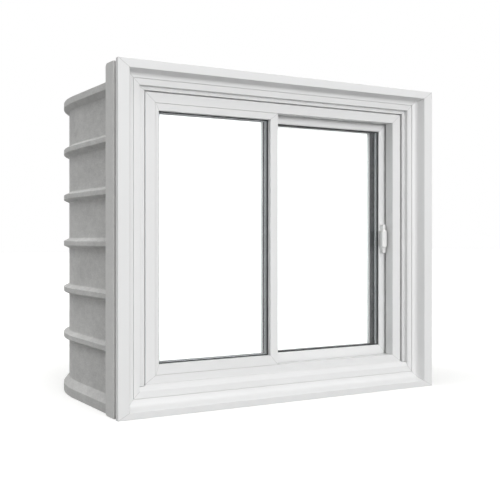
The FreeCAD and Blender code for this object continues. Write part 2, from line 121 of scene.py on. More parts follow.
# %% [markdown]
# ## Camera
#
# The photograph is taken level, from the left, with the frame's uprights parallel in the picture. A tilted
# camera would make them lean, so it keeps level and the lens is shifted a little instead. Its place was
# worked out from the four outer corners of the casing.

# %% Camera
PHOTO_WIDTH = 500
PHOTO_HEIGHT = 488
FOCAL_PIXELS = 869
HORIZON_ROW = 238
SENSOR_WIDTH = 36
CAMERA_TURN = math.radians(-30.74)
CAMERA_FROM_CORNER = Vector((-0.7242, -1.7830, 0.4024))

camera = bpy.data.objects.new("camera", bpy.data.cameras.new("camera"))
bpy.context.scene.collection.objects.link(camera)
camera.location = Vector((WINDOW[0], FRONT, WINDOW[2])) + CAMERA_FROM_CORNER
camera.rotation_euler = (math.radians(90), 0, CAMERA_TURN)
camera.data.sensor_width = SENSOR_WIDTH
camera.data.lens = FOCAL_PIXELS / PHOTO_WIDTH * SENSOR_WIDTH
camera.data.shift_y = (HORIZON_ROW - PHOTO_HEIGHT / 2) / PHOTO_WIDTH
bpy.context.scene.camera = camera
bpy.context.scene.view_settings.view_transform = "Standard"
print("camera at", tuple(round(c, 3) for c in camera.location), "lens %.1f mm" % camera.data.lens)

# %% [markdown]
# ## Nodes and colours
#
# A material is a small graph of nodes. It could be wired by hand in the editor, but a script can repeat it.
# One function adds a node, sets it up and links it, so a finish reads as a list of what it is made of.
# Colours are written as they look on a screen and turned into the linear values that light is counted in.

# %% Node and colour helpers
# Sockets of a mix of two colours
FACTOR, FIRST, SECOND = 0, 6, 7


def linear(hex_colour):
    """Linear red, green, blue and alpha of an sRGB hex colour: the small values are divided by 12.92,
    the others follow the 2.4 power curve."""
    channels = np.array([int(hex_colour[i:i + 2], 16) for i in (1, 3, 5)]) / 255
    curve = ((channels + 0.055) / 1.055) ** 2.4
    return (*np.where(channels <= 0.04045, channels / 12.92, curve), 1.0)


def add(tree, kind, inputs=None, **settings):
    """Adds a node: settings are its own properties, inputs are values or the sockets that feed it."""
    node = tree.nodes.new(kind)
    for name, value in settings.items():
        setattr(node, name, value)
    for name, value in (inputs or {}).items():
        if isinstance(value, bpy.types.NodeSocket):
            tree.links.new(value, node.inputs[name])
        else:
            node.inputs[name].default_value = value
    return node


def new_material(name, **constants):
    """New material with its constants set on the Principled shader's own sockets."""
    material = bpy.data.materials.new(name)
    material.use_nodes = True
    shader = material.node_tree.nodes["Principled BSDF"]
    for socket, value in constants.items():
        shader.inputs[socket.replace("_", " ")].default_value = value
    return material, material.node_tree, shader


def per_metre(size_mm):
    """Texture scale whose features are about size_mm across."""
    return 1 / (size_mm * MM)


print("white on screen #E0E0E0 is", round(linear("#E0E0E0")[0], 3), "in linear light")

# %% [markdown]
# ## Light and floor
#
# The object stands on a pale floor in soft studio light, in an even white surround. A plain white world would
# be simpler, but undersides would then be as bright as the front. So the surround looks white to the
# camera, to gloss and to glass, and gives less light than that.

# %% Surround
SURROUND_FILL = 0.38


def seen_directly(tree):
    """Socket that is 1 for rays from the camera, from gloss and through glass, and 0 for other rays."""
    path = add(tree, "ShaderNodeLightPath")
    total = path.outputs["Is Camera Ray"]
    for name in ("Is Glossy Ray", "Is Transmission Ray"):
        node = add(tree, "ShaderNodeMath", {0: total, 1: path.outputs[name]}, operation="MAXIMUM")
        total = node.outputs[0]
    return total


world = bpy.data.worlds.new("white_surround")
bpy.context.scene.world = world
world.use_nodes = True
surround = world.node_tree
strength = add(surround, "ShaderNodeMapRange", {
    "Value": seen_directly(surround), "To Min": SURROUND_FILL, "To Max": 1.0})
background = surround.nodes["Background"]
background.inputs["Color"].default_value = linear("#FFFFFF")
surround.links.new(strength.outputs[0], background.inputs["Strength"])
print("surround gives", SURROUND_FILL, "of the light of a white one")

# %% [markdown]
# A large soft lamp stands almost straight in front, another overhead, and a weak one high on the left behind
# the window's plane, which draws bright lines on the ribs. So front faces are bright, sills are brighter,
# and faces turned to the left and undersides fall into shade, as in the photograph. Area lamps would be as
# soft, but their light fades across the object, so each lamp is a sun with a wide angle.

# %% Lamps
KEY_SUN = 2.22
KEY_TOWARDS = Vector((-0.08, -0.98, 0.13))
KEY_SOFT = math.radians(28)
TOP_SUN = 1.5
TOP_TOWARDS = Vector((0.0, -0.15, 1.0))
TOP_SOFT = math.radians(60)
SIDE_SUN = 0.75
SIDE_TOWARDS = Vector((-0.55, 0.25, 0.8))
SIDE_SOFT = math.radians(35)


def sun(name, watts, towards, soft):
    """Lamp far away in the given direction; soft is the angle that it fills in the sky."""
    lamp = bpy.data.lights.new(name, "SUN")
    lamp.energy = watts
    lamp.angle = soft
    thing = bpy.data.objects.new(name, lamp)
    bpy.context.scene.collection.objects.link(thing)
    thing.rotation_euler = (-towards).to_track_quat("-Z", "Y").to_euler()
    return thing


sun("key_softbox", KEY_SUN, KEY_TOWARDS, KEY_SOFT)
sun("overhead_softbox", TOP_SUN, TOP_TOWARDS, TOP_SOFT)
sun("side_softbox", SIDE_SUN, SIDE_TOWARDS, SIDE_SOFT)
print("lamps: front %.1f, top %.1f and side %.1f W per square metre" % (KEY_SUN, TOP_SUN, SIDE_SUN))

# %% [markdown]
# ## From arrays to a mesh
#
# Boxes with modifiers could make the plainer pieces, but every edge of a section has a round of its own. A
# loft, which joins a stack of rings, is enough for all of them: a member of a frame is a section at its two
# mitres, a pane is one outline at several depths, and the well is one section at many places along a U. The
# whole surface is built from index arrays. Its signed volume tells whether the faces look outwards.

# %% Loft
def loft(rings, closed=False):
    """Arrays (points, corners, face sizes, uv) of the surface through a stack of rings. Point j of ring i
    is joined to point j + 1 and to ring i + 1. The stack ends in two flat faces, or runs round to its
    first ring when closed. u is the way along the stack and v the way round the ring, in metres."""
    rings = np.asarray(rings, float)
    count, around = rings.shape[:2]
    index = np.arange(count * around).reshape(count, around)
    last = count if closed else count - 1
    beside = np.roll(index, -1, 1)
    quads = np.stack([index, beside, np.roll(beside, -1, 0), np.roll(index, -1, 0)], -1)[:last]
    steps = np.linalg.norm(np.roll(rings, -1, 0) - rings, axis=2).mean(1)
    u = np.concatenate([[0], np.cumsum(steps)])
    sides = np.linalg.norm(np.roll(rings, -1, 1) - rings, axis=2).mean(0)
    v = np.concatenate([[0], np.cumsum(sides)])
    near, low = np.broadcast_arrays(u[:last, None], v[None, :-1])
    far, high = np.broadcast_arrays(u[1:last + 1, None], v[None, 1:])
    uv = np.stack([near, low, near, high, far, high, far, low], -1).reshape(-1, 2)
    corners = quads.reshape(-1, 4)
    ends = [] if closed else [index[0][::-1], index[-1]]
    points = rings.reshape(-1, 3)
    if volume(points, corners, ends) < 0:
        corners = corners[:, ::-1]
        uv = uv.reshape(-1, 4, 2)[:, ::-1].reshape(-1, 2)
        ends = [end[::-1] for end in ends]
    sizes = np.array([4] * len(corners) + [len(end) for end in ends])
    flat = np.concatenate([corners.ravel(), *ends]).astype(int)
    uv = np.concatenate([uv, *[points[end][:, ::2] for end in ends]])
    return points, flat, sizes, uv


def volume(points, quads, ends):
    """Signed volume of a closed surface: a sixth of the sum of the triple products of its triangles."""
    fans = [np.stack([np.full(len(e) - 2, e[0]), e[1:-1], e[2:]], 1) for e in ends]
    triangles = np.concatenate([quads[:, :3], quads[:, [0, 2, 3]], *fans])
    a, b, c = (points[triangles[:, k]] for k in range(3))
    return np.einsum("ij,ij->i", a, np.cross(b, c)).sum() / 6


square = np.array([(0, 0), (1, 0), (1, 1), (0, 1)])
cube = loft([np.column_stack([square, np.full(4, level)]) for level in (0, 1)])
print("a lofted cube has", len(cube[0]), "points and", len(cube[2]), "faces")

# %% [markdown]
# A piece is a mesh with its finish that rides on a body of the model. Smooth shading keeps the rounded
# edges soft, edges sharper than a set angle stay crisp, and weighted normals keep the large faces flat.
# Crisp edges could be marked one by one, but the angle finds them on every piece.

# %% Piece
SHARP = math.radians(40)


def piece(name, surface, material, body="window", stands_for=()):
    """Puts a loft's arrays into a mesh object, gives it its finish and lets it ride on a body."""
    points, corners, sizes, uv = surface
    mesh = bpy.data.meshes.new(name)
    mesh.vertices.add(len(points))
    mesh.vertices.foreach_set("co", points.astype(np.float32).ravel())
    mesh.loops.add(len(corners))
    mesh.loops.foreach_set("vertex_index", corners.astype(np.int32))
    mesh.polygons.add(len(sizes))
    mesh.polygons.foreach_set("loop_start", (np.cumsum(sizes) - sizes).astype(np.int32))
    mesh.update(calc_edges=True)
    mesh.uv_layers.new(name="Section").data.foreach_set("uv", uv.astype(np.float32).ravel())
    mesh.polygons.foreach_set("use_smooth", np.ones(len(sizes), bool))
    mesh.set_sharp_from_angle(angle=SHARP)
    mesh.materials.append(material)
    thing = bpy.data.objects.new(name, mesh)
    bpy.context.scene.collection.objects.link(thing)
    thing.modifiers.new("flat_faces", "WEIGHTED_NORMAL").keep_sharp = True
    if body is None:
        return thing
    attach(thing, body)
    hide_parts(*stands_for)
    return thing


print("edges sharper than %.0f degrees stay crisp" % math.degrees(SHARP))

# %% [markdown]
# The floor is one thin plate, wide enough to fill the picture. A plain white plane would throw too much light
# up. So its paint is near white for the camera and grey for the light that it gives back, and a little glow
# lifts it to the white of the surround. Only the object's soft shadow is left to see.

# %% Floor
FLOOR_REACH = 20
FLOOR_THICK = 0.02
FLOOR_SEEN = linear("#F4F4F3")
FLOOR_GIVES = linear("#828282")
FLOOR_GLOW = 0.2

floor_paint, floor_tree, floor_shader = new_material("pale_floor", Roughness=0.9, Specular_IOR_Level=0)
seen = seen_directly(floor_tree)
tone = add(floor_tree, "ShaderNodeMix", {
    FACTOR: seen, FIRST: FLOOR_GIVES, SECOND: FLOOR_SEEN}, data_type="RGBA")
glow = add(floor_tree, "ShaderNodeMath", {0: seen, 1: FLOOR_GLOW}, operation="MULTIPLY")
floor_shader.inputs["Emission Color"].default_value = linear("#FFFFFF")
floor_tree.links.new(tone.outputs[2], floor_shader.inputs["Base Color"])
floor_tree.links.new(glow.outputs[0], floor_shader.inputs["Emission Strength"])

span = np.array([(-1, -1), (1, -1), (1, 1), (-1, 1)]) * FLOOR_REACH
floor_rings = [np.column_stack([span, np.full(4, level)]) for level in (-FLOOR_THICK, 0.0)]
piece("floor", loft(floor_rings), floor_paint, body=None)
print("floor reaches", FLOOR_REACH, "m each way")

# %% [markdown]
# ## Sections with soft edges
#
# No extruded or moulded edge is sharp: a small round catches the light as a bright line. A bevel modifier
# would give all edges one width. Here every corner of a section becomes an arc with its own radius, worked
# out for all corners at once.

# %% Rounded section
ARC_POINTS = 5
SAME_POINT = 1e-4


def rounded(corners, radii):
    """Closed section whose corners are arcs. With h half the angle at a corner and r its radius, the arc
    touches both sides at r / tan h from the corner, and its centre lies r / sin h along the bisector. The
    points between the touches swing round the centre."""
    corner = np.asarray(corners, float)
    radius = np.broadcast_to(np.asarray(radii, float), len(corner))
    back = np.roll(corner, 1, 0) - corner
    ahead = np.roll(corner, -1, 0) - corner
    back = back / np.linalg.norm(back, axis=1, keepdims=True)
    ahead = ahead / np.linalg.norm(ahead, axis=1, keepdims=True)
    half = np.arccos(np.clip((back * ahead).sum(1), -1, 1)) / 2
    bisector = back + ahead
    bisector = bisector / np.linalg.norm(bisector, axis=1, keepdims=True)
    centre = corner + bisector * (radius / np.sin(half))[:, None]
    touch = (radius / np.tan(half))[:, None]
    first = (corner + back * touch - centre)[:, None]
    second = (corner + ahead * touch - centre)[:, None]
    swing = (np.pi - 2 * half)[:, None, None]
    way = np.linspace(0, 1, ARC_POINTS)[None, :, None]
    arc = (np.sin((1 - way) * swing) * first + np.sin(way * swing) * second) / np.sin(swing)
    points = (arc + centre[:, None]).reshape(-1, 2)
    apart = np.linalg.norm(points - np.roll(points, 1, 0), axis=1) > SAME_POINT
    return points[apart]


print("a square corner of 1 mm has", ARC_POINTS, "points")

# %% [markdown]
# ## Mitred members
#
# Window sections are cut at an angle and welded at the corners, and the weld is trimmed to a fine groove. So
# the last millimetre of each member is drawn in a little, and two neighbours leave that groove between them.
# A smaller scale would move the points of a section by different amounts, so each one moves along its own
# normal.

# %% Drawn-in section
WELD = 0.9
WELD_DEEP = 0.42


def shrunk(section, amount):
    """Section moved inwards along the mean normal of each point's two sides. The sign of its area, half the
    sum of the cross products of neighbouring points, tells which way is inwards."""
    after = np.roll(section, -1, 0)
    side = after - section
    normal = np.column_stack([-side[:, 1], side[:, 0]])
    normal = normal / np.linalg.norm(normal, axis=1, keepdims=True)
    mean = normal + np.roll(normal, 1, 0)
    mean = mean / np.linalg.norm(mean, axis=1, keepdims=True)
    turning = np.sign((section[:, 0] * after[:, 1] - after[:, 0] * section[:, 1]).sum())
    return section + mean * amount * turning


print("the last %g mm of a member are drawn in by %g mm" % (WELD, WELD_DEEP))

# %% [markdown]
# Bars cut by booleans at 45 degrees would fit only where both sections are equally wide, so each member is
# a loft whose points find their own places on the mitre. The drawn-in ends carry a value of 1 that fades to
# 0, by which the finish paints shade into the groove.

# %% Mitred frame
SIDES = {
    "head": ("left", "right"),
    "sill": ("left", "right"),
    "left": ("sill", "head"),
    "right": ("sill", "head"),
}


def corner_ring(sections, outline, side, upright, level):
    """Ring of points where the member on one side ends, at the corner of an upright and a level member.
    Each point lies inside the outer edges by its inset in those two sections, and behind the front plane
    by its depth in the member's own section."""
    left, right, bottom, top = outline
    across, along = sections[upright][:, 0] * MM, sections[level][:, 0] * MM
    x = left + across if upright == "left" else right - across
    z = top - along if level == "head" else bottom + along
    return np.column_stack([x, FRONT + sections[side][:, 1] * MM, z])


def member(side, sections, outline):
    """Loft of one member between its two mitres."""
    drawn_in = {name: shrunk(section, WELD_DEEP) for name, section in sections.items()}
    pairs = [(side, end) if side in ("left", "right") else (end, side) for end in SIDES[side]]
    start, end = (corner_ring(sections, outline, side, *pair) for pair in pairs)
    start_in, end_in = (corner_ring(drawn_in, outline, side, *pair) for pair in pairs)
    step = (end - start) / np.linalg.norm(end - start, axis=1, keepdims=True) * WELD * MM
    return loft([start_in, start + step, end - step, end_in])


def mitred(names, sections, outline, material, body="window"):
    """The four members of a frame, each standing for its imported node."""
    for side, node in names.items():
        thing = piece(node + "_skin", member(side, sections, outline), material, body, [node])
        # Of a member's four rings, the first and the last are the drawn-in ends, where the finish paints shade
        weld_shade_mask = np.zeros((4, len(sections[side])), np.float32)
        weld_shade_mask[[0, -1]] = 1
        thing.data.attributes.new("weld", "FLOAT", "POINT").data.foreach_set("value", weld_shade_mask.ravel())
    print(", ".join(names.values()), "dressed")


print("members of a frame:", *SIDES)

# %% [markdown]
# ## White PVC
#
# The frames are extruded, unplasticised PVC with white pigment: a clean neutral white with a satin gloss.
# The die leaves very fine lines along each member, drawn coarser here so that they show. An even noise
# would look like grit, so the noise runs across the section only and the lines run with the extrusion. A
# broad faint tone keeps large faces from looking painted. The weld grooves are painted a darker grey as
# painted shade.

# %% Extruded PVC
DIE_LINE = 2.5
TONE_PATCH = 180

pvc, tree, shader = new_material("extruded_satin_pvc", IOR=1.53, Specular_IOR_Level=0.35)
section_uv = add(tree, "ShaderNodeUVMap", uv_map="Section")
across = add(tree, "ShaderNodeSeparateXYZ", {0: section_uv.outputs[0]})
place = add(tree, "ShaderNodeTexCoord")
lines = add(tree, "ShaderNodeTexNoise", {
    "W": across.outputs[1], "Scale": per_metre(DIE_LINE), "Detail": 3}, noise_dimensions="1D")
patches = add(tree, "ShaderNodeTexNoise", {
    "Vector": place.outputs["Object"], "Scale": per_metre(TONE_PATCH), "Detail": 2})
both = add(tree, "ShaderNodeMath", {
    0: lines.outputs[0], 1: patches.outputs[0]}, operation="MULTIPLY")
tint = add(tree, "ShaderNodeMix", {
    FACTOR: both.outputs[0], FIRST: linear("#DDDDDD"), SECOND: linear("#E3E4E4")}, data_type="RGBA")
# Painted shade: at the drawn-in weld ends the white turns to a darker grey
weld_shade_mask = add(tree, "ShaderNodeAttribute", attribute_name="weld")
weld_groove_shade = add(tree, "ShaderNodeMix", {
    FACTOR: weld_shade_mask.outputs["Fac"], FIRST: tint.outputs[2], SECOND: linear("#B0B0B0")}, data_type="RGBA")
gloss = add(tree, "ShaderNodeMapRange", {
    "Value": lines.outputs[0], "To Min": 0.34, "To Max": 0.46})
relief = add(tree, "ShaderNodeBump", {
    "Height": lines.outputs[0], "Strength": 0.25, "Distance": 0.02 * MM})
tree.links.new(weld_groove_shade.outputs[2], shader.inputs["Base Color"])
tree.links.new(gloss.outputs[0], shader.inputs["Roughness"])
tree.links.new(relief.outputs[0], shader.inputs["Normal"])
print("die lines every", DIE_LINE, "mm")

# %% [markdown]
# ## Casing
#
# The casing is the outer moulding: a flat fascia, a sloped return and a hollow cove. Behind it a groove
# runs round the edge and shows as a dark line on the left. Separate boxes would leave seams between these,
# so they are one section. The cove is a shallow bow between two points. The fascia is widest on the jambs
# and narrowest on the sill.

# %% Casing
FASCIA = {"head": 20, "sill": 15.5, "left": 27.2, "right": 27.2}
GROOVE_SHARE = 0.3
RETURN_SHARE = 0.3
RETURN_BACK = 18
COVE_BACK = 28
COVE_SAG = (-2.1, 2.1)
COVE_POINTS = 9
CASING_RIM = 13
CASING_FRONT_ROUNDS = [1.0, 1.3, 0.6]
CASING_BACK_ROUNDS = [0.5, 0.5, 0.5, 0.5, 0.8]
CASING_BACK = depth_of("casing_head")[1]


def bowed(start, end, sag, count):
    """Points between two ends of a shallow bow: the straight line plus sag times 4 t (1 - t)."""
    t = np.linspace(0, 1, count)[1:-1, None]
    start, end, sag = (np.array(p, float) for p in (start, end, sag))
    return start + (end - start) * t + sag * 4 * t * (1 - t)


def casing(side):
    """Section of the casing on one side."""
    fascia, inner = FASCIA[side], CASING_IN[side]
    groove = fascia * GROOVE_SHARE
    cove_start = (fascia + (inner - fascia) * RETURN_SHARE, RETURN_BACK)
    cove_end = (inner, COVE_BACK)
    cove = bowed(cove_start, cove_end, COVE_SAG, COVE_POINTS)
    corners = [
        (0, 0), (fascia, 0), cove_start, *cove, cove_end, (inner, CASING_BACK), (groove, CASING_BACK),
        (groove, CASING_RIM), (0, CASING_RIM)]
    return rounded(corners, CASING_FRONT_ROUNDS + [0] * len(cove) + CASING_BACK_ROUNDS)


mitred(ring_names("casing"), {side: casing(side) for side in SIDES}, WINDOW, pvc)

# %% [markdown]
# ## Subframe
#
# Inside the casing sits a stepped lining: a fine joint line, a flat face, a step back, a bead that leans
# forward again, and a narrow gap round the window's own frame. The sill slopes outwards instead and its gap
# is almost closed, so that water runs off. Dark lines could be painted on, but real steps keep their
# shadows from every side.

# %% Subframe
STEP = {"head": 51.5, "sill": 55, "left": 63.5, "right": 63.5}
JOINT_WIDTH = 1.5
JOINT_DEPTH = 3
STEP_DEPTH = 12
BEAD_SHARE = 0.78
BEAD_DEPTH = 5.5
GAP_DEPTH = {"head": 13, "sill": 1.2, "left": 13, "right": 13}
FOOT_SHARE = {"head": 0.02, "sill": 0.92, "left": 0.02, "right": 0.02}
SUBFRAME_ROUNDS = [0.45, 0.45, 0.5, 0.9] + [0.45] * 8
SUBFRAME_FRONT, SUBFRAME_BACK = depth_of("subframe_head")


def subframe(side):
    """Section of the lining on one side."""
    start, step, end = CASING_IN[side], STEP[side], MAIN_OUT[side]
    face_start, joint_end = start + JOINT_WIDTH, SUBFRAME_FRONT + JOINT_DEPTH
    bead_in = step + (end - step) * BEAD_SHARE
    bead_front = SUBFRAME_FRONT + BEAD_DEPTH
    gap_end = bead_front + GAP_DEPTH[side]
    foot = bead_front if side == "sill" else SUBFRAME_FRONT + STEP_DEPTH
    foot_in = step + (bead_in - step) * FOOT_SHARE[side]
    corners = [
        (start, joint_end), (face_start, joint_end), (face_start, SUBFRAME_FRONT), (step, SUBFRAME_FRONT),
        (foot_in, foot), (bead_in, bead_front), (bead_in, gap_end), (end, gap_end), (end, SUBFRAME_BACK),
        (COLLAR_IN[side], SUBFRAME_BACK), (COLLAR_IN[side], CASING_BACK), (start, CASING_BACK)]
    return rounded(corners, SUBFRAME_ROUNDS)


mitred(ring_names("subframe"), {side: subframe(side) for side in SIDES}, WINDOW, pvc)

# %% [markdown]
# ## Main frame
#
# This is the window's own frame: a wide front lip, and behind it the pocket in which the sash runs. A plain
# rectangular bar would look the same while the window is shut. The pocket is cut into the section, because
# it shows when the sash is pushed open.

# %% Main frame
MAIN_FRONT, MAIN_BACK = depth_of("main_frame_head")
LIP_DEPTH = 28.5
LIP_BACK = MAIN_FRONT + LIP_DEPTH
POCKET = {"head": 13.1, "sill": 13.1, "left": 16.5, "right": 16.5}
WEATHER_LIP = 6
MAIN_ROUNDS = [0.6, 0.9, 0.8, 0.5, 0.5, 0.5, 0.8, 0.5]


def main_frame(side):
    """Section of the window's own frame on one side."""
    outer, lip, pocket = MAIN_OUT[side], LIP_IN[side], LIP_IN[side] - POCKET[side]
    weather = MAIN_BACK - WEATHER_LIP
    corners = [
        (outer, MAIN_FRONT), (lip, MAIN_FRONT), (lip, LIP_BACK), (pocket, LIP_BACK), (pocket, weather),
        (lip, weather), (lip, MAIN_BACK), (outer, MAIN_BACK)]
    return rounded(corners, MAIN_ROUNDS)


mitred(ring_names("main_frame"), {side: main_frame(side) for side in SIDES}, WINDOW, pvc)

# %% [markdown]
# The sash runs on a low rail in the sill's pocket. The rail could be part of the sill's section, but then all
# four sections would need its points, so it is a short loft of its own, with a rounded top.

# %% Sill track
TRACK_RISE = 3
TRACK_HALF = 1.5
SASH_FRONT, SASH_BACK = depth_of("sash_top_rail")
TRACK_MIDDLE = (SASH_FRONT + SASH_BACK) / 2
TRACK_ROUNDS = [0.1, 0.1, 0.9, 0.9]

track_low = LIP_IN["sill"] - POCKET["sill"]
track_near, track_far = TRACK_MIDDLE - TRACK_HALF, TRACK_MIDDLE + TRACK_HALF
track_section = rounded(
    [
        (track_near, track_low), (track_far, track_low), (track_far, track_low + TRACK_RISE),
        (track_near, track_low + TRACK_RISE)],
    TRACK_ROUNDS) * MM
track_ends = (
    WINDOW[0] + (LIP_IN["left"] - POCKET["left"]) * MM,
    WINDOW[1] - (LIP_IN["right"] - POCKET["right"]) * MM)
track_depth, track_height = FRONT + track_section[:, 0], WINDOW[2] + track_section[:, 1]
track_rings = [np.column_stack([np.full_like(track_depth, x), track_depth, track_height]) for x in track_ends]
piece("sill_track", loft(track_rings), pvc)
print("track %.0f mm long" % ((track_ends[1] - track_ends[0]) / MM))

# %% [markdown]
# ## Fixed panel and sliding sash
#
# Both hold their glass in a slot behind a bead. Two sets of sections could be drawn, but one outline with a
# width that changes does for both.

# %% Rail section
GLASS_BITE = 6.3
RAIL_ROUND = 0.6
SLOT_ROUND = 0.5


def channel(width, node, bead, slot_back, soft):
    """Section of a rail: front face, bead, slot for the glass and back lip. The edge by the pane has the
    radius soft."""
    front, back = depth_of(node)
    bottom = width - GLASS_BITE
    corners = [
        (0, front), (width, front), (width, front + bead), (bottom, front + bead), (bottom, slot_back),
        (width, slot_back), (width, back), (0, back)]
    return rounded(corners, [RAIL_ROUND, soft] + [SLOT_ROUND] * 4 + [RAIL_ROUND] * 2)


print("slot for the glass is", GLASS_BITE, "mm deep")

# %% [markdown]
# The panel's four members have different widths, so its mitres aren't at 45 degrees. The sash is the same
# all round and has a large soft inner edge. The widths could be typed in, but each node's box knows its own.

# %% Panel and sash
GLASS_PLAY = 0.3
PANEL_BEAD = 12
PANEL_SOFT = 0.9
SASH_BEAD = 5
SASH_SOFT = 3.6


def breadth(node, axis):
    """Size of a node along one axis, in millimetres."""
    low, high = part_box(node)
    return (high - low)[axis] / MM


panel_names = {
    "head": "fixed_top_rail",
    "sill": "fixed_bottom_rail",
    "left": "fixed_left_stile",
    "right": "meeting_stile",
}
sash_names = {
    "head": "sash_top_rail",
    "sill": "sash_bottom_rail",
    "left": "sash_lock_stile",
    "right": "sash_pull_stile",
}
ACROSS = {"head": 2, "sill": 2, "left": 0, "right": 0}
panel_slot = depth_of("fixed_outer_glass")[1] + GLASS_PLAY
sash_slot = depth_of("sash_outer_glass")[1] + GLASS_PLAY
panel_sections = {
    side: channel(breadth(node, ACROSS[side]), node, PANEL_BEAD, panel_slot, PANEL_SOFT)
    for side, node in panel_names.items()}
sash_sections = {
    side: channel(breadth(node, ACROSS[side]), node, SASH_BEAD, sash_slot, SASH_SOFT)
    for side, node in sash_names.items()}
mitred(panel_names, panel_sections, PANEL, pvc)
mitred(sash_names, sash_sections, SASH, pvc, "sash")

# %% [markdown]
# ## Glass
#
# Each unit is two sheets with air between. The inner sheet is clear float glass: smooth and almost without
# colour, with a slow ripple that shows in reflections. Glass that bends light stops the rays that look
# for a lamp, and the slot behind it would be dark. A plain see-through shader would lose the reflections, so
# only those rays meet a clear film instead of the glass.

# %% Float glass
RIPPLE = 120

clear, tree, shader = new_material(
    "clear_float_glass", Base_Color=linear("#FBFCFC"), Roughness=0.0, IOR=1.52, Transmission_Weight=1.0)
place = add(tree, "ShaderNodeTexCoord")
ripple = add(tree, "ShaderNodeTexNoise", {
    "Vector": place.outputs["Object"], "Scale": per_metre(RIPPLE), "Detail": 0})
waviness = add(tree, "ShaderNodeBump", {
    "Height": ripple.outputs[0], "Strength": 0.2, "Distance": 0.05 * MM})
tree.links.new(waviness.outputs[0], shader.inputs["Normal"])
path = add(tree, "ShaderNodeLightPath")
window_light = add(tree, "ShaderNodeBsdfTransparent", {"Color": linear("#F7F9F9")})
lets_lamps_through = add(tree, "ShaderNodeMixShader", {
    0: path.outputs["Is Shadow Ray"], 1: shader.outputs[0], 2: window_light.outputs[0]})
tree.links.new(lets_lamps_through.outputs[0], tree.nodes["Material Output"].inputs[0])
print("finish:", clear.name)

# %% [markdown]
# Only white shows through the panes in the photograph, so the outer sheet is satin etched and white: it
# scatters the light and hides what is behind it. Daylight could be a lamp behind the window, but that would
# light the well too, so the sheet glows a little by itself: painted daylight, though the sheet is no lamp.
# It doesn't glow where the frame's back lip covers it, and there its colour is painted shade of the lip, a
# darker grey. That strip is worked out from the pane's own box.

# %% Painted daylight on a pane
GLASS_EDGE = 6
SPACER_LEVEL = {"fixed": 4, "sash": 1.2}
SPACER_SIDE = {"fixed": 8, "sash": 8.5}
LIP_LEVEL = 1
LIP_SIDE = {"fixed": 4.6, "sash": 7.5}
LIP_BLUR = 0.5


def painted_daylight_share(tree, place, unit):
    """Socket that is 1 where the sheet gets its painted daylight glow and 0 behind the lip, where its colour is
    painted shade: on both axes the distance from the middle is compared with half the opening."""
    low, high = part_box(unit + "_outer_glass")
    covered = {0: SPACER_SIDE[unit] + LIP_SIDE[unit], 2: SPACER_LEVEL[unit] + LIP_LEVEL}
    where = add(tree, "ShaderNodeSeparateXYZ", {0: place})
    shares = []
    for axis, shown in covered.items():
        middle = (low[axis] + high[axis]) / 2
        half = (high[axis] - low[axis]) / 2 - (GLASS_EDGE + shown) * MM
        off = add(tree, "ShaderNodeMath", {0: where.outputs[axis], 1: middle}, operation="SUBTRACT")
        away = add(tree, "ShaderNodeMath", {0: off.outputs[0]}, operation="ABSOLUTE")
        shares.append(add(tree, "ShaderNodeMapRange", {
            "Value": away.outputs[0], "From Min": half - LIP_BLUR * MM, "From Max": half,
            "To Min": 1.0, "To Max": 0.0}))
    both = add(tree, "ShaderNodeMath", {
        0: shares[0].outputs[0], 1: shares[1].outputs[0]}, operation="MULTIPLY")
    return both.outputs[0]


print("back lip covers", LIP_SIDE, "mm beside the spacers")

# %% [markdown]
# Acid leaves the face of the glass matt and milky. A blurred transparent shader would be nearer to the real
# sheet, but it is slow to render clean, and nothing is to be seen through it. So it is a white surface with a
# fine grain, drawn coarser than a real etch. Behind the lip it is painted a darker grey: painted shade, which
# shows as a line beside the spacer.

# %% Etched glass
UNITS = {"fixed": "window", "sash": "sash"}
ETCH_GRAIN = 1.5
PAINTED_DAYLIGHT_GLOW = 0.38


def etched(unit):
    """Etched white glass of one unit: painted daylight glow inside the opening, painted shade behind the lip.
    """
    material, tree, shader = new_material(
        "acid_etched_white_glass_" + unit, IOR=1.52, Emission_Color=linear("#FFFFFF"))
    place = add(tree, "ShaderNodeTexCoord")
    grain = add(tree, "ShaderNodeTexNoise", {
        "Vector": place.outputs["Object"], "Scale": per_metre(ETCH_GRAIN), "Detail": 2})
    milk = add(tree, "ShaderNodeMix", {
        FACTOR: grain.outputs[0], FIRST: linear("#DFE0E0"), SECOND: linear("#E4E5E5")}, data_type="RGBA")
    painted_daylight_mask = painted_daylight_share(tree, place.outputs["Object"], unit)
    # Painted shade: behind the back lip the milky white turns to a darker grey
    tint = add(tree, "ShaderNodeMix", {
        FACTOR: painted_daylight_mask, FIRST: linear("#A2A3A3"), SECOND: milk.outputs[2]}, data_type="RGBA")
    # Painted light: inside the opening the sheet glows, though it is no lamp
    glow = add(tree, "ShaderNodeMath", {0: painted_daylight_mask, 1: PAINTED_DAYLIGHT_GLOW}, operation="MULTIPLY")
    frost = add(tree, "ShaderNodeMapRange", {"Value": grain.outputs[0], "To Min": 0.5, "To Max": 0.6})
    tree.links.new(tint.outputs[2], shader.inputs["Base Color"])
    tree.links.new(glow.outputs[0], shader.inputs["Emission Strength"])
    tree.links.new(frost.outputs[0], shader.inputs["Roughness"])
    return material


satin = {unit: etched(unit) for unit in UNITS}
print("finishes:", *[material.name for material in satin.values()])

# %% [markdown]
# A sheet of glass could be a plain box. Glass is sold with its edges ground to a small slope, which catches
# the light at the rim, so each sheet is a stack of four rectangles, drawn in at both faces.

# %% Panes
ARRIS = 0.5


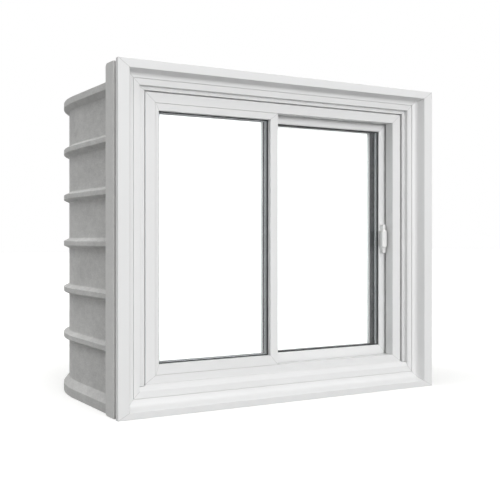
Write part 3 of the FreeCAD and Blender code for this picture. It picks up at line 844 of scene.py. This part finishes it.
def slab(node):
    """Stack of four rectangles: drawn in at both faces, full between them, as a ground edge is."""
    (x0, y0, z0), (x1, y1, z1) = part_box(node)
    turn = np.array([(x0, z0), (x1, z0), (x1, z1), (x0, z1)])
    inward = np.array([(1, 1), (-1, 1), (-1, -1), (1, -1)]) * ARRIS * MM
    levels = [(y0, 1), (y0 + ARRIS * MM, 0), (y1 - ARRIS * MM, 0), (y1, 1)]
    rings = [(turn + inward * drawn, y) for y, drawn in levels]
    return loft([np.column_stack([flat[:, 0], np.full(4, y), flat[:, 1]]) for flat, y in rings])


for unit, body in UNITS.items():
    sheets = {"inner": (clear, "clear_glass"), "outer": (satin[unit], "satin_glass")}
    for sheet, (material, slot) in sheets.items():
        node = f"{unit}_{sheet}_glass"
        piece(f"{unit}_{sheet}_pane", slab(node), material, body, [node])
print("four panes of %.0f mm glass" % breadth("sash_inner_glass", 1))

# %% [markdown]
# ## Gasket and spacer
#
# A black rubber lip lies on the glass all round, and behind it the two sheets are held apart by a grey
# spacer. Seen from the left, the lip is a thin black line at the right of each pane, with the spacer's
# inner face beside it. Rubber is dull and nearly black, with a grain drawn coarser than the real one. The
# spacer is roll formed: dark on its inner face with rows of small holes. The faces turned to the panes are
# painted a pale grey as painted light, chosen by the way each face points.

# %% Rubber and spacer finishes
RUBBER_GRAIN = 0.8
SPACER_HOLE = 2.5


def grained(name, ior, grain_mm, tones, roughness):
    """Finish with one fine grain: tone and roughness both go from their first to their second value with
    the same noise."""
    material, tree, shader = new_material(name, IOR=ior)
    place = add(tree, "ShaderNodeTexCoord")
    grain = add(tree, "ShaderNodeTexNoise", {
        "Vector": place.outputs["Object"], "Scale": per_metre(grain_mm), "Detail": 2})
    tint = add(tree, "ShaderNodeMix", {
        FACTOR: grain.outputs[0], FIRST: linear(tones[0]), SECOND: linear(tones[1])}, data_type="RGBA")
    gloss = add(tree, "ShaderNodeMapRange", {
        "Value": grain.outputs[0], "To Min": roughness[0], "To Max": roughness[1]})
    tree.links.new(tint.outputs[2], shader.inputs["Base Color"])
    tree.links.new(gloss.outputs[0], shader.inputs["Roughness"])
    return material


rubber = grained("extruded_epdm_rubber", 1.5, RUBBER_GRAIN, ("#151617", "#1F2122"), (0.5, 0.7))

spacer_grey, tree, shader = new_material("roll_formed_spacer", Specular_IOR_Level=0.1)
section_uv = add(tree, "ShaderNodeUVMap", uv_map="Section")
place = add(tree, "ShaderNodeTexCoord")
# Painted light: faces turned to the panes get a pale grey, lighter than the dark inner face with its holes
facing = add(tree, "ShaderNodeSeparateXYZ", {0: place.outputs["Normal"]})
painted_light_facing = add(tree, "ShaderNodeMath", {0: facing.outputs[1]}, operation="ABSOLUTE")
holes = add(tree, "ShaderNodeTexVoronoi", {
    "Vector": section_uv.outputs[0], "Scale": per_metre(SPACER_HOLE), "Randomness": 0.0})
dot = add(tree, "ShaderNodeMapRange", {
    "Value": holes.outputs["Distance"], "From Min": 0.15, "From Max": 0.35})
inner_face = add(tree, "ShaderNodeMix", {
    FACTOR: dot.outputs[0], FIRST: linear("#1E2022"), SECOND: linear("#25282A")}, data_type="RGBA")
spacer_with_painted_light = add(tree, "ShaderNodeMix", {
    FACTOR: painted_light_facing.outputs[0], FIRST: inner_face.outputs[2], SECOND: linear("#9C9E9F")}, data_type="RGBA")
tree.links.new(spacer_with_painted_light.outputs[2], shader.inputs["Base Color"])
brushed = add(tree, "ShaderNodeMapRange", {"Value": dot.outputs[0], "To Min": 0.8, "To Max": 0.65})
tree.links.new(brushed.outputs[0], shader.inputs["Roughness"])
print("finishes:", rubber.name, spacer_grey.name)

# %% [markdown]
# Four bars could meet at the corners of each ring, but a lip and a spacer are bent round in one length. So
# each ring is one section carried round the pane and closed on itself, without end faces.

# %% Rings round the panes
SPACER_BEVEL = 1.4
SPACER_ROUNDS = [0.2, 0.4, 0.5, 0.5, 0.4, 0.2]
GASKET_WIDE = 6.8
GASKET_FLAT = 5.2
GASKET_TIP = 0.45
GASKET_THICK = 1
GASKET_ROUNDS = [0.1, 0.8, 0.2, 0.1, 0.1]


def carried_round(node, level, upright):
    """Two sections (inset from the node's outer edge, depth from its near face), one for the level and one
    for the upright sides, carried round a rectangle: four mitred rings, closed into a loop."""
    (x0, y0, z0), (x1, y1, z1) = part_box(node)
    (rise, depth), (inset, _) = level.T * MM, upright.T * MM
    corners = [(x0, z0, 1, 1), (x1, z0, -1, 1), (x1, z1, -1, -1), (x0, z1, 1, -1)]
    rings = [np.column_stack([x + sx * inset, y0 + depth, z + sz * rise]) for x, z, sx, sz in corners]
    return loft(rings, closed=True)


def spacer_bar(width, gap):
    """Section of the spacer: a bar with its inner edges bevelled."""
    bevel = width - SPACER_BEVEL
    corners = [
        (0, 0), (bevel, 0), (width, SPACER_BEVEL), (width, gap - SPACER_BEVEL), (bevel, gap), (0, gap)]
    return rounded(corners, SPACER_ROUNDS)


gasket_lip = rounded(
    [
        (0, 0), (GASKET_FLAT, 0), (GASKET_WIDE, GASKET_TIP), (GASKET_WIDE, GASKET_THICK),
        (0, GASKET_THICK)],
    GASKET_ROUNDS)
for unit, body in UNITS.items():
    gap = breadth(unit + "_spacer", 1)
    level = spacer_bar(GLASS_EDGE + SPACER_LEVEL[unit], gap)
    upright = spacer_bar(GLASS_EDGE + SPACER_SIDE[unit], gap)
    gasket_ring = carried_round(unit + "_gasket", gasket_lip, gasket_lip)
    spacer_ring = carried_round(unit + "_spacer", level, upright)
    piece(unit + "_rubber_lip", gasket_ring, rubber, body, [unit + "_gasket"])
    piece(unit + "_spacer_bar", spacer_ring, spacer_grey, body, [unit + "_spacer"])
    shown = SPACER_SIDE[unit], SPACER_LEVEL[unit]
    print(unit, "spacer shows %g mm by the stiles and %g mm by the rails" % shown)

# %% [markdown]
# ## Latch and glides
#
# A pull latch stands on the sash's right stile, and under the sash two glides straddle the track. The latch
# is moulded in glossy white ABS, a little brighter than the frame, and the glides in grey nylon, which is
# duller. Both have a mould grain, drawn coarser than the real one, so they share the grained finish.

# %% Moulded plastics
MOULD_GRAIN = 1.2

abs_white = grained("moulded_gloss_abs", 1.54, MOULD_GRAIN, ("#E2E2E1", "#E8E8E7"), (0.24, 0.34))
nylon = grained("moulded_nylon", 1.53, MOULD_GRAIN, ("#B4B3AE", "#C0BFBA"), (0.42, 0.52))
print("finishes:", abs_white.name, nylon.name)

# %% [markdown]
# The latch is a narrow bar with a wider grip. A bevelled box would round all its edges alike, also at the
# back, where it lies flat on the stile. Here each piece is a stack of rounded outlines that draw in towards
# the room only.

# %% Latch
SOFT_STEPS = 6
LEAST_CORNER = 0.4
LATCH_SOFT = {"latch_bar": (2.5, 1.5), "latch_grip": (5.0, 2.5)}


def soft_block(node, corner, edge):
    """Stack of rounded outlines of a node's front view. Towards the room they draw in along a quarter
    circle: at angle f the inset is edge (1 - cos f) and the depth edge (1 - sin f)."""
    (x0, y0, z0), (x1, y1, z1) = (np.array(c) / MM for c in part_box(node))
    turn = np.linspace(0, np.pi / 2, SOFT_STEPS)
    inset = np.concatenate([[0], edge * (1 - np.cos(turn))])
    depth = np.concatenate([[y1], y0 + edge * (1 - np.sin(turn))])
    rings = []
    for drawn, y in zip(inset, depth):
        low, high = np.array([x0, z0]) + drawn, np.array([x1, z1]) - drawn
        outline = rounded(
            [low, (high[0], low[1]), high, (low[0], high[1])], max(corner - drawn, LEAST_CORNER))
        rings.append(np.column_stack([outline[:, 0], np.full(len(outline), y), outline[:, 1]]) * MM)
    return loft(rings)


for node, (corner, edge) in LATCH_SOFT.items():
    piece(node + "_body", soft_block(node, corner, edge), abs_white, "sash", [node])
print("latch %.0f mm tall" % breadth("latch_bar", 2))

# %% [markdown]
# A glide is an upside-down U that sits over the track with a little play. It could be a block with a groove
# cut by a boolean, but the groove is simply part of the section. The ends are drawn in to run in smoothly.

# %% Glides
GLIDE_LENGTH = 40
GLIDE_PLAY = 0.3
GLIDE_LEAD = 0.5
GLIDE_ROUNDS = [0.8, 0.3, 0.3, 0.3, 0.3, 0.8, 0.4, 0.4]

(gx0, gy0, gz0), (gx1, gy1, gz1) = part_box("sash_runners")
glide_near, glide_far = (gy0 - FRONT) / MM, (gy1 - FRONT) / MM
glide_low, glide_high = (gz0 - WINDOW[2]) / MM, (gz1 - WINDOW[2]) / MM
groove_near, groove_far = TRACK_MIDDLE - TRACK_HALF - GLIDE_PLAY, TRACK_MIDDLE + TRACK_HALF + GLIDE_PLAY
groove_top = glide_low + TRACK_RISE
glide_section = rounded(
    [
        (glide_near, glide_low), (groove_near, glide_low), (groove_near, groove_top),
        (groove_far, groove_top), (groove_far, glide_low), (glide_far, glide_low),
        (glide_far, glide_high), (glide_near, glide_high)],
    GLIDE_ROUNDS)
stations = [
    (0, GLIDE_LEAD / 2), (GLIDE_LEAD, 0), (GLIDE_LENGTH - GLIDE_LEAD, 0), (GLIDE_LENGTH, GLIDE_LEAD / 2)]
for name, start, nodes in (
        ("glide_left", gx0 / MM, ["sash_runners"]), ("glide_right", gx1 / MM - GLIDE_LENGTH, [])):
    rings = []
    for way, drawn in stations:
        outline = shrunk(glide_section, drawn)
        x = np.full(len(outline), start + way)
        rings.append(np.column_stack([x * MM, FRONT + outline[:, 0] * MM, WINDOW[2] + outline[:, 1] * MM]))
    piece(name, loft(rings), nylon, "sash", nodes)
print("two glides of", GLIDE_LENGTH, "mm")

# %% [markdown]
# ## Grey moulded plastic
#
# The collar and the well are moulded from grey polyethylene. Up close the surface is dull and mottled like
# fine stone: cloudy patches a few centimetres tall, smaller blotches and a grain, all drawn out sideways as
# the powder flows in the turning mould. One noise has only one size of patch, so three are added together.
# The finest one also lifts the surface a little.

# %% Rotation-moulded polyethylene
CLOUD = 60
BLOTCH = 14
GRAIN = 3
DRAWN_OUT = 2.2


def moulded_grey(name, dark, light):
    """Mottled grey between two tones, with cloud, blotch and grain adding up to its pattern."""
    material, tree, shader = new_material(name, IOR=1.51, Specular_IOR_Level=0.2)
    place = add(tree, "ShaderNodeTexCoord")
    flow = add(tree, "ShaderNodeMapping", {
        "Vector": place.outputs["Object"], "Scale": (1 / DRAWN_OUT, 1 / DRAWN_OUT, 1.0)})
    sizes = ((CLOUD, 3), (BLOTCH, 3), (GRAIN, 2))
    noises = [
        add(tree, "ShaderNodeTexNoise", {
            "Vector": flow.outputs[0], "Scale": per_metre(size), "Detail": detail})
        for size, detail in sizes]
    coarse = add(tree, "ShaderNodeMath", {
        0: noises[0].outputs[0], 1: noises[1].outputs[0]}, operation="ADD")
    mottle = add(tree, "ShaderNodeMath", {
        0: coarse.outputs[0], 1: noises[2].outputs[0]}, operation="ADD")
    share = add(tree, "ShaderNodeMapRange", {
        "Value": mottle.outputs[0], "From Min": 1.0, "From Max": 2.0})
    tint = add(tree, "ShaderNodeMix", {
        FACTOR: share.outputs[0], FIRST: linear(dark), SECOND: linear(light)}, data_type="RGBA")
    dull = add(tree, "ShaderNodeMapRange", {
        "Value": noises[1].outputs[0], "To Min": 0.52, "To Max": 0.68})
    relief = add(tree, "ShaderNodeBump", {
        "Height": noises[2].outputs[0], "Strength": 0.35, "Distance": 0.25 * MM})
    tree.links.new(tint.outputs[2], shader.inputs["Base Color"])
    tree.links.new(dull.outputs[0], shader.inputs["Roughness"])
    tree.links.new(relief.outputs[0], shader.inputs["Normal"])
    return material


collar_grey = moulded_grey("moulded_grey_collar", "#CCCCCB", "#D8D8D6")
well_grey = moulded_grey("rotomoulded_grey_well", "#B4B4B3", "#D3D3D1")
print("mottle of %g, %g and %g mm" % (CLOUD, BLOTCH, GRAIN))

# %% [markdown]
# ## Collar
#
# The collar ties the window to the well: two side plates of full height, and a head and a sill between
# them. Its top and bottom edge are rounded at the back, which shows at both ends of the left plate. These
# two rounds are larger than the rest, so each block is a side view carried across, drawn in at its ends.

# %% Collar
COLLAR_ROUND = 9
COLLAR_EDGE = 0.4
COLLAR_SOFT = 0.5


def collar_block(node, low_round, high_round):
    """Side view (depth, height) of a block with rounded back corners, at four stations along x."""
    (x0, y0, z0), (x1, y1, z1) = (np.array(corner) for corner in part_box(node))
    corners = np.array([(y0, z0), (y1, z0), (y1, z1), (y0, z1)]) / MM
    view = rounded(corners, [COLLAR_SOFT, low_round, high_round, COLLAR_SOFT])
    ends = shrunk(view, COLLAR_EDGE)
    edge = COLLAR_EDGE * MM
    stations = [(x0, ends), (x0 + edge, view), (x1 - edge, view), (x1, ends)]
    return loft([np.column_stack([np.full(len(line), x), line * MM]) for x, line in stations])


collar_rounds = {
    "head": (COLLAR_SOFT, COLLAR_ROUND),
    "sill": (COLLAR_ROUND, COLLAR_SOFT),
    "left": (COLLAR_ROUND, COLLAR_ROUND),
    "right": (COLLAR_ROUND, COLLAR_ROUND),
}
for side, node in ring_names("collar").items():
    block = collar_block(node, *collar_rounds[side])
    piece(node + "_skin", block, collar_grey, "window", [node])
print("collar plates %.0f mm deep" % breadth("collar_jamb_left", 1))

# %% [markdown]
# ## Well
#
# The well is one moulding: a wall of even thickness that runs back from the collar, turns through a half
# circle and comes forward again. A foot, five ribs and a rim stiffen it. Ribs could be rings laid on a plain
# wall, but a moulded rib is hollow behind. So the section goes up the outside and down the inside, and every
# corner is rounded.

# %% Section of the wall
WALL = 6
RISE = 14
FOOT = (22, 18)
RIB = (12.5, 6.5)
RIM = (17, 11)
RIB_FIRST = 149
RIB_PITCH = 120
RIB_COUNT = 5
CREST_ROUND = 2.5
ROOT_ROUND = 4
FOOT_ROUND = 1.5
RIM_ROUND = 2.2
INNER_CREST_ROUND = 1.5
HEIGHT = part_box("well_left_wall")[1].z / MM


def ribbed(skin, thinner):
    """Corners up one face of the wall. A crest narrows by thinner * (slope length - bevel) / rise on each
    side, so that the inner face keeps its distance from the outer one on the bevels too."""
    trims = [thinner * (math.hypot(RISE, bevel) - bevel) / RISE for _, bevel in (FOOT, RIB, RIM)]
    foot_top = FOOT[0] - trims[0]
    half = RIB[0] / 2 - trims[1]
    rim_start = HEIGHT - RIM[0] + trims[2]
    middles = RIB_FIRST + RIB_PITCH * np.arange(RIB_COUNT)[:, None]
    heights = middles + np.array([-half - RIB[1], -half, half, half + RIB[1]])
    radii = np.broadcast_to([skin, skin + RISE, skin + RISE, skin], heights.shape)
    ribs = np.stack([radii, heights], -1).reshape(-1, 2)
    foot = [(skin + RISE, 0), (skin + RISE, foot_top), (skin, foot_top + FOOT[1])]
    rim = [(skin, rim_start - RIM[1]), (skin + RISE, rim_start), (skin + RISE, HEIGHT)]
    return np.concatenate([foot, ribs, rim])


def face_radii(crest, root):
    """Rounding of the corners of one face, in the order that ribbed gives them."""
    return [FOOT_ROUND, crest, root] + [root, crest, crest, root] * RIB_COUNT + [root, crest, RIM_ROUND]


wall_corners = np.concatenate([ribbed(0, 0), ribbed(-WALL, WALL)[::-1]])
outside_radii = face_radii(CREST_ROUND, ROOT_ROUND)
inside_radii = face_radii(INNER_CREST_ROUND, CREST_ROUND + WALL)[::-1]
wall = rounded(wall_corners, outside_radii + inside_radii)
print("wall section has", len(wall), "points")

# %% [markdown]
# The wall could be bent along a curve object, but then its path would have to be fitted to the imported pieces.
# Each station of the U is worked out instead: its angle turns the section outwards, straight back from the
# collar, round half a circle in equal steps, and straight to the front again.

# %% Wall along the U
WELL_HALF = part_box("well_right_wall")[1].x / MM - RISE
WELL_START, WELL_TURN = (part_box("well_left_wall")[k].y for k in (0, 1))
ROUND_STEPS = 96

turn = np.linspace(np.pi, 0, ROUND_STEPS + 1)
facing = np.concatenate([[np.pi], turn, [0]])
middle = np.concatenate([[WELL_START], np.full(len(turn), WELL_TURN), [WELL_START]])
out = (WELL_HALF + wall[None, :, 0]) * MM
x = np.cos(facing)[:, None] * out
y = middle[:, None] + np.sin(facing)[:, None] * out
z = np.broadcast_to(wall[None, :, 1] * MM, x.shape)
well_nodes = sorted(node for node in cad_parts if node.startswith("well_"))
piece("well_shell", loft(np.stack([x, y, z], -1)), well_grey, "window", well_nodes)
print("well of", ROUND_STEPS, "steps stands for", len(well_nodes), "nodes")
